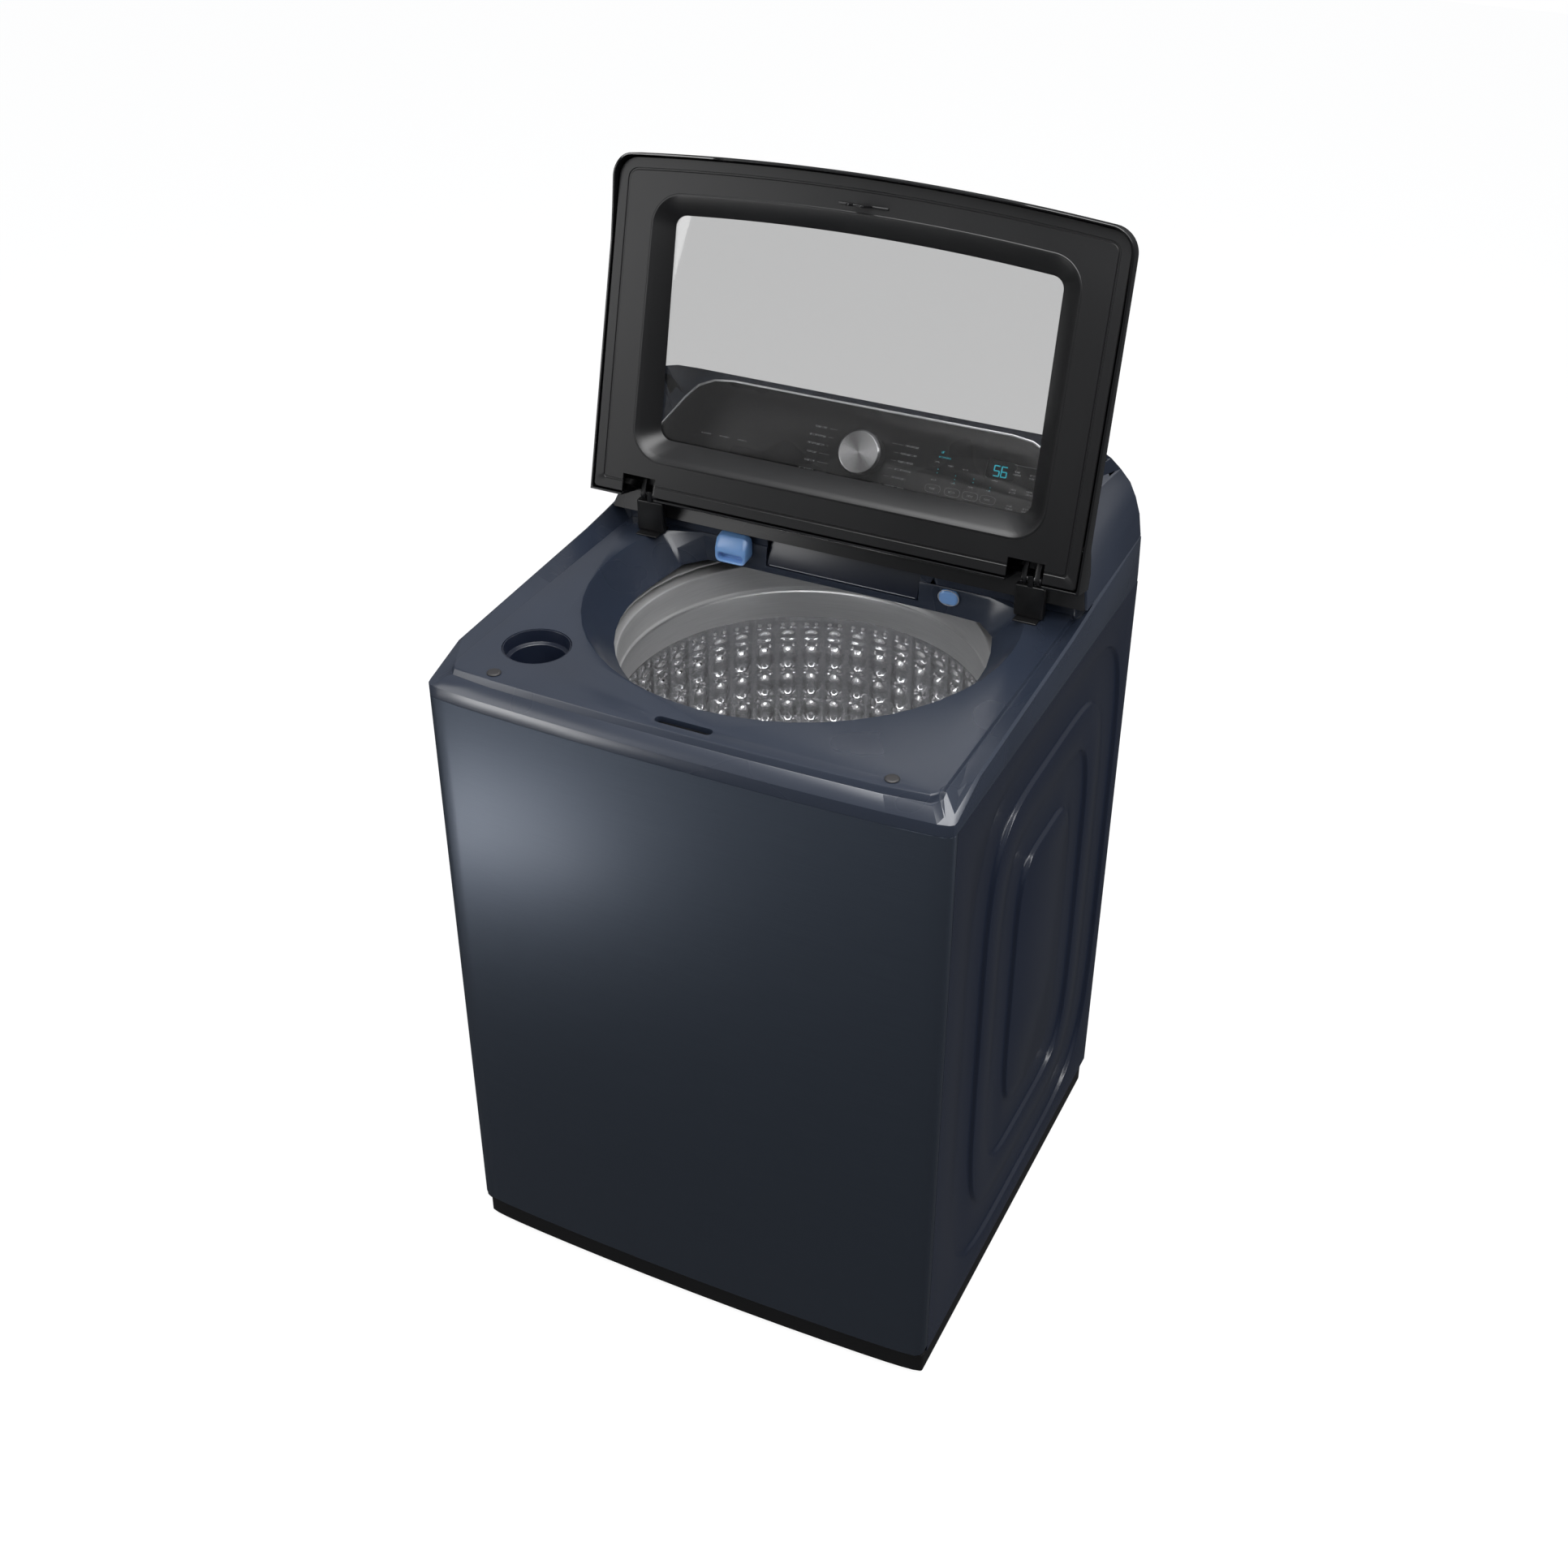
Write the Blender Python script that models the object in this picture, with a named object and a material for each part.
"""Top load washing machine, lid open: a set of separate solids, one object per piece.

Metres, +Z up, the front faces -Y. The origin is on the floor under the middle of the machine.
"""
import math

import bmesh
import bpy
from mathutils import Matrix, Vector

# ---- Driving dimensions -------------------------------------------------------------------
WIDTH = 0.700            # across the side panels
DEPTH = 0.670            # along the side panels
BOW_ARC = 0.0095         # how far the front bulges as one gentle arc
BOW_EDGE = 0.0035        # and the extra turn close to its two corners
SEAM_Z = 0.908           # where the sheet metal ends and the plastic top cover starts
PANEL_FOOT_Z = 0.045     # lower edge of the sheet metal
SHEET = 0.0012           # sheet metal
WALL = 0.003             # plastic shells
GAP = 0.0003             # between pieces that touch
FIT = 0.0005             # round a shaft in its bore

DECK_Z = 0.949           # flat top of the top cover
SHELF_Z = 0.9665         # front edge of the seat under the console
SHELF_SLOPE = 0.075      # and its rise towards the back
BAND = 0.0165            # upright band of the top cover above the seam
TUB_Y = 0.010            # the wash axis, a little behind the middle
OPENING_R = 0.286        # tub opening in the deck
LIP_R = 0.2455           # lower lip of the opening's funnel
LIP_Z = 0.901
RECESS_Y = 0.1335        # back wall of the opening, under the console

LID_HINGE_Y = 0.1045     # hinge axis
LID_HINGE_Z = 1.005
LID_PIN_DEPTH = 0.0386   # hinge axis above the lid's underside
LID_LEAN = math.radians(15.0)          # open: past upright
LID_CLOSED_TILT = math.radians(2.0)    # closed: lower at the front
LID_WIDTH = 0.694
LID_CORNER_LENGTH = 0.4415             # hinge edge to the front corners
LID_BOW = 0.0143                       # the front edge bulges this much more
LID_CORNER_R = 0.033
GLASS_HALF = 0.268                     # lid window, half width
GLASS_FROM = 0.074                     # lid window, from the hinge edge
GLASS_TO = 0.388
GLASS_T = 0.0035

CONSOLE_FRONT_Y = 0.118                # foot of the control panel
CONSOLE_LEAN = math.atan2(0.092, 0.170)
CONSOLE_FACE = 0.1995                  # height of the control panel along its slope
CONSOLE_REAR_Y = 0.322

TUB_R = 0.292
TUB_TOP_Z = 0.858
TUB_FLOOR_Z = 0.205
DRUM_R = 0.262
DRUM_FLOOR_Z = 0.248
DRUM_TOP_Z = 0.7885
RING_R = 0.243           # bore of the balance ring
RING_TOP_Z = 0.882
ROD_X = 0.285            # suspension rods
ROD_Y = 0.258            # from the wash axis
ROD_R = 0.004
ROD_PLATE_Z = 0.880
ROD_SEAT_Z = 0.262
SPRING_Z = 0.070         # height of a suspension spring as it carries the tub

FOOT_X = 0.308
FOOT_Y = 0.293
FOOT_R = 0.021
SHAFT_R = 0.008          # drive shaft, inside the hollow spin shaft
SPIN_SHAFT_R = 0.014

HALF = WIDTH / 2
FRONT_Y = -DEPTH / 2
REAR_Y = DEPTH / 2
REACH_Y = -FRONT_Y + BOW_ARC + BOW_EDGE     # front of the bulge; the hose ends reach as far back
LID_TURN = math.pi / 2 + LID_LEAN + LID_CLOSED_TILT

# ---- Colours ------------------------------------------------------------------------------
FINISHES = {
    "navy_steel": ((0.020, 0.030, 0.046), 0.32, 0.85),
    "navy_paint": ((0.012, 0.018, 0.032), 0.35, 0.2),
    "navy_plastic": ((0.030, 0.042, 0.068), 0.28, 0.0),
    "black_gloss": ((0.010, 0.010, 0.011), 0.12, 0.0),
    "black_satin": ((0.013, 0.014, 0.015), 0.45, 0.0),
    "black_rubber": ((0.012, 0.012, 0.012), 0.80, 0.0),
    "smoked_glass": ((0.55, 0.56, 0.57), 0.04, 0.0),
    "light_blue": ((0.16, 0.33, 0.62), 0.35, 0.0),
    "silver": ((0.62, 0.63, 0.64), 0.22, 1.0),
    "steel": ((0.42, 0.42, 0.43), 0.28, 1.0),
    "dark_steel": ((0.16, 0.16, 0.17), 0.40, 0.9),
    "grey_plastic": ((0.30, 0.30, 0.31), 0.50, 0.0),
    "white_plastic": ((0.62, 0.62, 0.60), 0.50, 0.0),
    "board_green": ((0.02, 0.10, 0.04), 0.50, 0.0),
    "copper": ((0.55, 0.25, 0.12), 0.35, 0.9),
    "display_cyan": ((0.01, 0.08, 0.10), 0.10, 0.0),
}


def finish_of(name):
    """The Principled material of that name, made the first time it is asked for."""
    found = bpy.data.materials.get(name)
    if found:
        return found
    colour, roughness, metallic = FINISHES[name]
    made = bpy.data.materials.new(name)
    made.use_nodes = True
    shader = made.node_tree.nodes["Principled BSDF"]
    shader.inputs["Base Color"].default_value = (*colour, 1.0)
    shader.inputs["Roughness"].default_value = roughness
    shader.inputs["Metallic"].default_value = metallic
    return made


# ---- Mesh helpers -------------------------------------------------------------------------
def piece(name, bm, finish, pivot=None, smooth=True, sharp=32):
    """Link a bmesh as an object. With a pivot, its points are the pivot's own coordinates."""
    bmesh.ops.remove_doubles(bm, verts=bm.verts, dist=1e-6)
    bmesh.ops.recalc_face_normals(bm, faces=bm.faces)
    mesh = bpy.data.meshes.new(name)
    bm.to_mesh(mesh)
    bm.free()
    if smooth:
        mesh.shade_smooth()
        mesh.set_sharp_from_angle(angle=math.radians(sharp))
    mesh.materials.append(finish_of(finish))
    made = bpy.data.objects.new(name, mesh)
    bpy.context.scene.collection.objects.link(made)
    if pivot:
        made.parent = pivot
    return made


def pivot_at(name, place, turn_x=0.0):
    """An empty on a joint's axis."""
    empty = bpy.data.objects.new(name, None)
    empty.location = place
    empty.rotation_euler = (turn_x, 0.0, 0.0)
    bpy.context.scene.collection.objects.link(empty)
    return empty


def cut(target, cutter, operation="DIFFERENCE"):
    """A live Boolean whose second object is a hidden guide."""
    cutter.hide_render = True
    cutter.display_type = "WIRE"
    step = target.modifiers.new(operation.lower(), "BOOLEAN")
    step.operation = operation
    step.solver = "EXACT"
    step.object = cutter


def loft(rings, closed=False):
    """Skin rings that have the same number of points; closed joins the last to the first."""
    bm = bmesh.new()
    rows = [[bm.verts.new(p) for p in ring] for ring in rings]
    count = len(rows[0])
    pairs = list(zip(rows, rows[1:]))
    if closed:
        pairs.append((rows[-1], rows[0]))
    for low, high in pairs:
        for i in range(count):
            j = (i + 1) % count
            bm.faces.new((low[i], low[j], high[j], high[i]))
    if not closed:
        bm.faces.new(rows[0])
        bm.faces.new(rows[-1])
    return bm


def prism(outline, low, high, place=None):
    """Extrude a flat outline of (x, y) points from z = low to z = high, then move it."""
    bm = bmesh.new()
    face = bm.faces.new([bm.verts.new((x, y, low)) for x, y in outline])
    grown = bmesh.ops.extrude_face_region(bm, geom=[face])
    top = [v for v in grown["geom"] if isinstance(v, bmesh.types.BMVert)]
    bmesh.ops.translate(bm, verts=top, vec=(0, 0, high - low))
    if place:
        bmesh.ops.transform(bm, matrix=place, verts=bm.verts)
    return bm


def box(low, high):
    outline = [(low[0], low[1]), (high[0], low[1]), (high[0], high[1]), (low[0], high[1])]
    return prism(outline, low[2], high[2])


def turned(profile, steps, place=None):
    """Spin a closed outline of (r, z) points about the z axis."""
    bm = bmesh.new()
    ring = [bm.verts.new((r, 0.0, z)) for r, z in profile]
    edges = [bm.edges.new((ring[i - 1], ring[i])) for i in range(len(ring))]
    bmesh.ops.spin(bm, geom=ring + edges, cent=(0, 0, 0), axis=(0, 0, 1), dvec=(0, 0, 0),
                   angle=2 * math.pi, steps=steps, use_merge=True)
    bmesh.ops.remove_doubles(bm, verts=bm.verts, dist=1e-6)
    bmesh.ops.dissolve_degenerate(bm, edges=bm.edges, dist=1e-7)
    bmesh.ops.delete(bm, geom=[e for e in bm.edges if not e.link_faces], context="EDGES")
    if place:
        bmesh.ops.transform(bm, matrix=place, verts=bm.verts)
    return bm


def joined(parts):
    """Several bmeshes as one, each still its own body."""
    whole = bmesh.new()
    for part in parts:
        scratch = bpy.data.meshes.new("scratch")
        part.to_mesh(scratch)
        part.free()
        whole.from_mesh(scratch)
        bpy.data.meshes.remove(scratch)
    return whole


def circle(radius, count, centre=(0.0, 0.0)):
    return [(centre[0] + radius * math.cos(2 * math.pi * i / count),
             centre[1] + radius * math.sin(2 * math.pi * i / count)) for i in range(count)]


def rounded_box(x0, x1, y0, y1, radius, arc=5):
    """Rectangle with round corners, anticlockwise from its lower right corner."""
    points = []
    for cx, cy, start in ((x1 - radius, y0 + radius, -90), (x1 - radius, y1 - radius, 0),
                          (x0 + radius, y1 - radius, 90), (x0 + radius, y0 + radius, 180)):
        for i in range(arc + 1):
            a = math.radians(start + 90 * i / arc)
            points.append((cx + radius * math.cos(a), cy + radius * math.sin(a)))
    return points


def along_rays(outline, centre, angles):
    """Where rays from the centre meet a closed outline: one point for each angle."""
    hits = []
    for angle in angles:
        dx, dy = math.cos(angle), math.sin(angle)
        best = None
        for (ax, ay), (bx, by) in zip(outline, outline[1:] + outline[:1]):
            ex, ey = bx - ax, by - ay
            det = dx * ey - dy * ex
            if abs(det) < 1e-12:
                continue
            ox, oy = ax - centre[0], ay - centre[1]
            reach = (ox * ey - oy * ex) / det
            share = (ox * dy - oy * dx) / det
            if reach > 0 and -1e-9 <= share <= 1 + 1e-9 and (best is None or reach > best):
                best = reach
        hits.append((centre[0] + best * dx, centre[1] + best * dy))
    return hits


def along_y(x, y, z):
    """Place a turned piece so that its own z axis points to the back."""
    return Matrix.Translation((x, y, z)) @ Matrix.Rotation(math.radians(-90), 4, "X")


def at(x, y, z=0.0):
    return Matrix.Translation((x, y, z))


# ---- Outlines of the cabinet --------------------------------------------------------------
def front_at(x):
    """y of the bulging front at a given x."""
    u = min(abs(x) / HALF, 1.0)
    return FRONT_Y - BOW_ARC * (1 - u ** 2) - BOW_EDGE * (1 - u ** 16)


FOLD_R = 0.008           # bend between the front and its side return
FRONT_STEPS = (0.965, 0.92, 0.85, 0.74, 0.60, 0.42, 0.22, 0.0)


def front_curve(inset=0.0):
    """The front from its left fold to its right fold, moved inwards by inset."""
    radius = max(FOLD_R - inset, 0.002)
    left = []
    for degrees in (180, 204, 228, 248):
        a = math.radians(degrees)
        left.append((-HALF + inset + radius + radius * math.cos(a),
                     FRONT_Y + inset + radius + radius * math.sin(a)))
    for u in FRONT_STEPS:
        left.append((-u * (HALF - inset), front_at(u * HALF) + inset))
    return left + [(-x, y) for x, y in reversed(left[:-1])]


def cabinet_outline(inset_front, inset_side, inset_rear):
    """The whole plan of the cabinet, anticlockwise from the left front fold."""
    shift = inset_front - inset_side
    curve = [(x, y + shift) for x, y in front_curve(inset_side)]
    rear = REAR_Y - inset_rear
    edge = HALF - inset_side
    nick = 0.004
    return curve + [(edge, rear - nick), (edge - nick, rear), (nick - edge, rear), (-edge, rear - nick)]


# ---- Cabinet sheet metal ------------------------------------------------------------------
FRONT_RETURN = 0.0135    # the front's side returns reach back this far
FRONT_CORNER_R = 0.012   # rounding of the front's two lower corners


def make_front_panel():
    """Bulging front sheet with a folded return on each side."""
    outer = front_curve()
    inner = front_curve(SHEET)
    outer = [(-HALF, FRONT_Y + FRONT_RETURN)] + outer + [(HALF, FRONT_Y + FRONT_RETURN)]
    inner = ([(-HALF + SHEET, FRONT_Y + FRONT_RETURN)] + inner
             + [(HALF - SHEET, FRONT_Y + FRONT_RETURN)])
    plan = outer + inner[::-1]

    def foot(x):
        past = max(abs(x) - (HALF - FRONT_CORNER_R), 0.0)
        drop = math.sqrt(max(FRONT_CORNER_R ** 2 - past ** 2, 0.0))
        return PANEL_FOOT_Z + FRONT_CORNER_R - drop

    top = SEAM_Z - GAP
    bm = bmesh.new()
    low = [bm.verts.new((x, y, foot(x))) for x, y in plan]
    high = [bm.verts.new((x, y, top)) for x, y in plan]
    half = len(outer)
    last = len(plan) - 1
    for i in range(len(plan)):
        j = (i + 1) % len(plan)
        bm.faces.new((low[i], low[j], high[j], high[i]))
    for i in range(half - 1):
        bm.faces.new((low[i], low[last - i], low[last - i - 1], low[i + 1]))
        bm.faces.new((high[i], high[i + 1], high[last - i - 1], high[last - i]))
    return piece("front_panel", bm, "navy_steel")


RIB_DEPTH = 0.0055
RIB_WALL = 0.009
RIB_CENTRE = (0.025, 0.478)
RIB_SIZES = ((0.285, 0.400), (0.218, 0.338), (0.166, 0.281), (0.100, 0.215))
RIB_POWER = 5.0
RIB_RAYS = 20


def squared_oval(centre, half_a, half_b, count=60):
    """A rectangle with bowed sides and round corners."""
    points = []
    for i in range(count):
        a = 2 * math.pi * i / count
        c, s = math.cos(a), math.sin(a)
        reach = (abs(c / half_a) ** RIB_POWER + abs(s / half_b) ** RIB_POWER) ** (-1 / RIB_POWER)
        points.append((centre[0] + reach * c, centre[1] + reach * s))
    return points


def pressed_sheet(name, rectangle, centre, sizes, to_world, finish):
    """A flat sheet with nested pressed steps; to_world places a point (a, b, depth)."""
    a0, a1, b0, b1 = rectangle
    corners = [(a1, b0), (a1, b1), (a0, b1), (a0, b0)]
    angles = [2 * math.pi * (i + 0.5) / RIB_RAYS for i in range(RIB_RAYS)]
    angles += [math.atan2(b - centre[1], a - centre[0]) % (2 * math.pi) for a, b in corners]
    angles.sort()
    steps = [(along_rays(corners, centre, angles), 0.0)]
    level = 0.0
    for half_a, half_b in sizes:
        steps.append((along_rays(squared_oval(centre, half_a, half_b), centre, angles), level))
        level = RIB_DEPTH - level
        inside = squared_oval(centre, half_a - RIB_WALL, half_b - RIB_WALL)
        steps.append((along_rays(inside, centre, angles), level))
    skins = []
    for back in (0.0, SHEET):
        skins.append([[to_world(a, b, depth + back) for a, b in ring] for ring, depth in steps])
    bm = loft(skins[0][::-1] + skins[1])
    return piece(name, bm, finish, sharp=20)


def make_side_panel(name, side):
    rectangle = (FRONT_Y + FRONT_RETURN + GAP, REAR_Y - SHEET - GAP, PANEL_FOOT_Z, SEAM_Z - GAP)
    return pressed_sheet(name, rectangle, RIB_CENTRE, RIB_SIZES,
                         lambda a, b, d: (side * (HALF - d), a, b), "navy_paint")


VALVE_Z = 0.855
VALVE_X = (-0.270, -0.215)
VALVE_STUB_R = 0.0125
DRAIN_X = 0.265
DRAIN_Z = 0.850
DRAIN_R = 0.016
CORD_X = 0.180
CORD_Z = 0.858
CORD_R = 0.0105
REAR_NOTCH_Z = 0.055


def make_rear_panel():
    rectangle = (-HALF + 0.0015, HALF - 0.0015, REAR_NOTCH_Z, SEAM_Z - GAP)
    panel = pressed_sheet("rear_panel", rectangle, (0.0, 0.44), ((0.240, 0.330), (0.170, 0.260)),
                          lambda a, b, d: (a, REAR_Y - d, b), "navy_paint")
    holes = [(x, VALVE_Z, VALVE_STUB_R) for x in VALVE_X]
    holes += [(DRAIN_X, DRAIN_Z, DRAIN_R), (CORD_X, CORD_Z, CORD_R)]
    drills = [prism(circle(r + FIT, 20), -0.01, 0.01, along_y(x, REAR_Y, z)) for x, z, r in holes]
    cut(panel, piece("rear_panel_holes", joined(drills), "dark_steel"))


# ---- Base and feet ------------------------------------------------------------------------
SKIRT_FRONT = 0.008
SKIRT_SIDE = 0.004
SKIRT_LOW_Z = 0.006
SKIRT_T = 0.003
BASE_TOP_Z = PANEL_FOOT_Z - GAP
BASE_SHELF = 0.075
STUD_R = 0.005
FOOT_PAD_Z = 0.012


def make_base_frame():
    shelf_low = BASE_TOP_Z - SKIRT_T
    levels = [
        (cabinet_outline(SKIRT_FRONT, SKIRT_SIDE, SKIRT_SIDE), SKIRT_LOW_Z),
        (cabinet_outline(SKIRT_FRONT, SKIRT_SIDE, SKIRT_SIDE), shelf_low),
        (cabinet_outline(0.001, 0.001, 0.001), shelf_low),
        (cabinet_outline(0.001, 0.001, 0.001), BASE_TOP_Z),
        (cabinet_outline(BASE_SHELF, BASE_SHELF, BASE_SHELF), BASE_TOP_Z),
        (cabinet_outline(BASE_SHELF, BASE_SHELF, BASE_SHELF), shelf_low),
        (cabinet_outline(SKIRT_FRONT + SKIRT_T, SKIRT_SIDE + SKIRT_T, SKIRT_SIDE + SKIRT_T), shelf_low),
        (cabinet_outline(SKIRT_FRONT + SKIRT_T, SKIRT_SIDE + SKIRT_T, SKIRT_SIDE + SKIRT_T), SKIRT_LOW_Z),
    ]
    base = piece("base_frame", loft([[(x, y, z) for x, y in ring] for ring, z in levels], closed=True),
                 "black_satin")
    drills = [prism(circle(STUD_R + FIT, 16), 0.0, 0.1, at(x, y)) for x in (-FOOT_X, FOOT_X)
              for y in (-FOOT_Y, FOOT_Y)]
    cut(base, piece("base_frame_holes", joined(drills), "dark_steel"))


def make_feet():
    """A levelling foot in each corner, screwed fully in."""
    shoulder = BASE_TOP_Z - SKIRT_T - GAP
    profile = [(0, 0), (FOOT_R - 0.002, 0), (FOOT_R, 0.003), (FOOT_R - 0.003, FOOT_PAD_Z),
               (0.011, FOOT_PAD_Z), (0.011, shoulder), (STUD_R, shoulder), (STUD_R, 0.070), (0, 0.070)]
    for end, y in (("front", -FOOT_Y), ("rear", FOOT_Y)):
        for side, x in (("left", -FOOT_X), ("right", FOOT_X)):
            pivot = pivot_at(f"foot_axis_{end}_{side}", (x, y, 0))
            piece(f"levelling_foot_{end}_{side}", turned(profile, 12), "black_rubber", pivot)


# ---- Top cover ----------------------------------------------------------------------------
BAND_TOP_Z = SEAM_Z + BAND
CREST_INSET = 0.0035     # top edge of the side rails
GROOVE_OUT = 0.0235
GROOVE_IN = 0.0255
DECK_SIDE_INSET = 0.027
CHAMFER_INSET = 0.0115   # front: the slanted face above the band
CHAMFER_Z = 0.9393
DECK_FRONT_INSET = 0.0155
DECK_CORNER_R = 0.024
RAIL_POINTS = ((-0.330, BAND_TOP_Z + 0.0015), (-0.265, 0.948), (-0.136, 0.9535), (0.055, 0.9604),
               (0.112, 0.965))
COVER_CENTRE = (0.0, TUB_Y)


def shelf_z(y):
    return SHELF_Z + (y - CONSOLE_FRONT_Y) * SHELF_SLOPE


def rail_z(y):
    """Top edge of the top cover along its sides; the console's seam behind y = 0.112."""
    if y <= RAIL_POINTS[0][0]:
        return RAIL_POINTS[0][1]
    for (ya, za), (yb, zb) in zip(RAIL_POINTS, RAIL_POINTS[1:]):
        if y <= yb:
            return za + (zb - za) * (y - ya) / (yb - ya)
    return shelf_z(min(y, CONSOLE_REAR_Y))


def deck_outline(inset_front, inset_side, back_y, radius):
    """Plan of the deck: bowed front, round front corners, straight back edge."""
    x_edge = HALF - inset_side
    points = []
    front = [(u * x_edge, front_at(u * x_edge) + inset_front) for u in
             (-0.86, -0.72, -0.5, -0.25, 0.0, 0.25, 0.5, 0.72, 0.86)]
    corner_y = front_at(x_edge - radius) + inset_front + radius
    corner = []
    for i in range(6):
        a = math.radians(-80 + 80 * i / 5)
        corner.append((x_edge - radius + radius * math.cos(a), corner_y + radius * math.sin(a)))
    points += front + corner + [(x_edge, back_y), (-x_edge, back_y)]
    points += [(-x, y) for x, y in reversed(corner)]
    return points


def opening_outline(radius, back_y, corner):
    """A circle about the wash axis whose back is cut straight at back_y."""
    rise = back_y - TUB_Y
    edge = math.sqrt(radius ** 2 - rise ** 2)
    start = math.atan2(rise, edge)
    points = []
    steps = 40
    for i in range(steps + 1):
        a = math.pi - start + (math.pi + 2 * start) * i / steps
        points.append((radius * math.cos(a), TUB_Y + radius * math.sin(a)))
    inner = [(edge - corner, back_y), (corner - edge, back_y)]
    trimmed = points[1:-1]
    return trimmed + inner


def cover_angles():
    """Ray directions for the top cover, closer together round its corners."""
    angles = [2 * math.pi * i / 48 for i in range(48)]
    special = []
    for x, y in ((HALF - 0.001, FRONT_Y + 0.004), (HALF - 0.006, front_at(HALF - 0.006)),
                 (HALF - DECK_SIDE_INSET, FRONT_Y + 0.036), (HALF - 0.034, FRONT_Y + 0.012),
                 (HALF - GROOVE_OUT + 0.002, RECESS_Y + 0.0035), (HALF - GROOVE_OUT, RECESS_Y + 0.002),
                 (HALF - GROOVE_OUT, RECESS_Y - 0.001),
                 (HALF, REAR_Y - 0.010), (HALF - 0.002, REAR_Y - 0.006),
                 (HALF - 0.020, REAR_Y)):
        special.append(math.atan2(y - TUB_Y, x))
        special.append(math.atan2(y - TUB_Y, -x))
    return sorted(a % (2 * math.pi) for a in angles + special)


def make_top_cover():
    """Moulded top cover: skirt band, side rails, deck, funnel and the shelf for the console."""
    angles = cover_angles()
    shelf_y = RECESS_Y + 0.001

    def ring(outline, height):
        return [(x, y, height(x, y)) for x, y in along_rays(outline, COVER_CENTRE, angles)]

    def on_shelf(y):
        return y > shelf_y - 0.0006

    def band_top(x, y, inset=0.0):
        if y > REAR_Y - inset - 0.0045:
            return BAND_TOP_Z - 0.004
        blend = min(max((y - FRONT_Y) / 0.012, 0.0), 1.0)
        return BAND_TOP_Z + (rail_z(y) - 0.002 - BAND_TOP_Z) * blend

    def crest(x, y):
        if y < FRONT_Y + CHAMFER_INSET + 0.002 and abs(x) < HALF - 0.020:
            return CHAMFER_Z
        if y > CONSOLE_REAR_Y - 0.001:
            return shelf_z(CONSOLE_REAR_Y)
        return rail_z(y)

    def groove(x, y):
        if on_shelf(y):
            return shelf_z(y)
        return CHAMFER_Z + 0.0005 if y < FRONT_Y + 0.03 else DECK_Z - 0.0045

    def groove_inner(x, y):
        if on_shelf(y):
            return shelf_z(y) - 0.0010
        return DECK_Z - 0.0015 if y < FRONT_Y + 0.03 else DECK_Z - 0.0045

    outer = cabinet_outline(0.0, 0.0, 0.0)
    crest_line = deck_outline(CHAMFER_INSET, CREST_INSET, CONSOLE_REAR_Y, 0.018)
    groove_line = deck_outline(CHAMFER_INSET + 0.001, GROOVE_OUT, shelf_y, DECK_CORNER_R)
    groove_floor = deck_outline(CHAMFER_INSET + 0.003, GROOVE_IN, shelf_y - 0.0006, DECK_CORNER_R)
    deck_edge = deck_outline(DECK_FRONT_INSET, DECK_SIDE_INSET, shelf_y - 0.0012, DECK_CORNER_R)
    mouth = opening_outline(OPENING_R, RECESS_Y - 0.002, 0.025)
    fillet = opening_outline(OPENING_R - 0.004, RECESS_Y - 0.003, 0.026)
    throat = opening_outline(LIP_R + 0.016, RECESS_Y - 0.004, 0.020)
    lip = opening_outline(LIP_R, RECESS_Y - 0.005, 0.018)

    def lip_z(x, y, back=0.912):
        share = min(max((y - 0.06) / (RECESS_Y - 0.07), 0.0), 1.0)
        return LIP_Z + (back - LIP_Z) * share

    def under_groove(x, y):
        if y > shelf_y + 0.002:
            return shelf_z(y) - WALL
        return CHAMFER_Z - WALL if y < FRONT_Y + 0.036 else DECK_Z - 0.0075

    under = WALL
    rings = [
        ring(outer, lambda x, y: SEAM_Z),
        ring(outer, band_top),
        ring(crest_line, crest),
        ring(groove_line, groove),
        ring(groove_floor, groove_inner),
        ring(deck_edge, lambda x, y: DECK_Z),
        ring(mouth, lambda x, y: DECK_Z),
        ring(fillet, lambda x, y: DECK_Z - 0.004),
        ring(throat, lambda x, y: lip_z(x, y, 0.922) + 0.012),
        ring(lip, lip_z),
        ring(opening_outline(LIP_R + under, RECESS_Y - 0.001, 0.018), lip_z),
        ring(opening_outline(LIP_R + 0.019, RECESS_Y, 0.020),
             lambda x, y: lip_z(x, y, 0.922) + 0.010),
        ring(opening_outline(OPENING_R - 0.001, RECESS_Y + 0.001, 0.026), lambda x, y: DECK_Z - 0.0075),
        ring(deck_outline(DECK_FRONT_INSET + 0.003, DECK_SIDE_INSET + 0.002, shelf_y + 0.002,
                          DECK_CORNER_R),
             lambda x, y: DECK_Z - 0.0075),
        ring(deck_outline(DECK_FRONT_INSET + 0.0025, GROOVE_OUT - 0.002, shelf_y + 0.0025, DECK_CORNER_R),
             under_groove),
        ring(deck_outline(CHAMFER_INSET + 0.004, CREST_INSET + 0.003, CONSOLE_REAR_Y - 0.003, 0.016),
             lambda x, y: crest(x, y) - under - 0.002),
        ring(cabinet_outline(WALL, WALL, WALL), lambda x, y: band_top(x, y, WALL) - 0.003),
        ring(cabinet_outline(WALL, WALL, WALL), lambda x, y: SEAM_Z),
    ]
    return piece("top_cover", loft(rings, closed=True), "navy_plastic")


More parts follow.
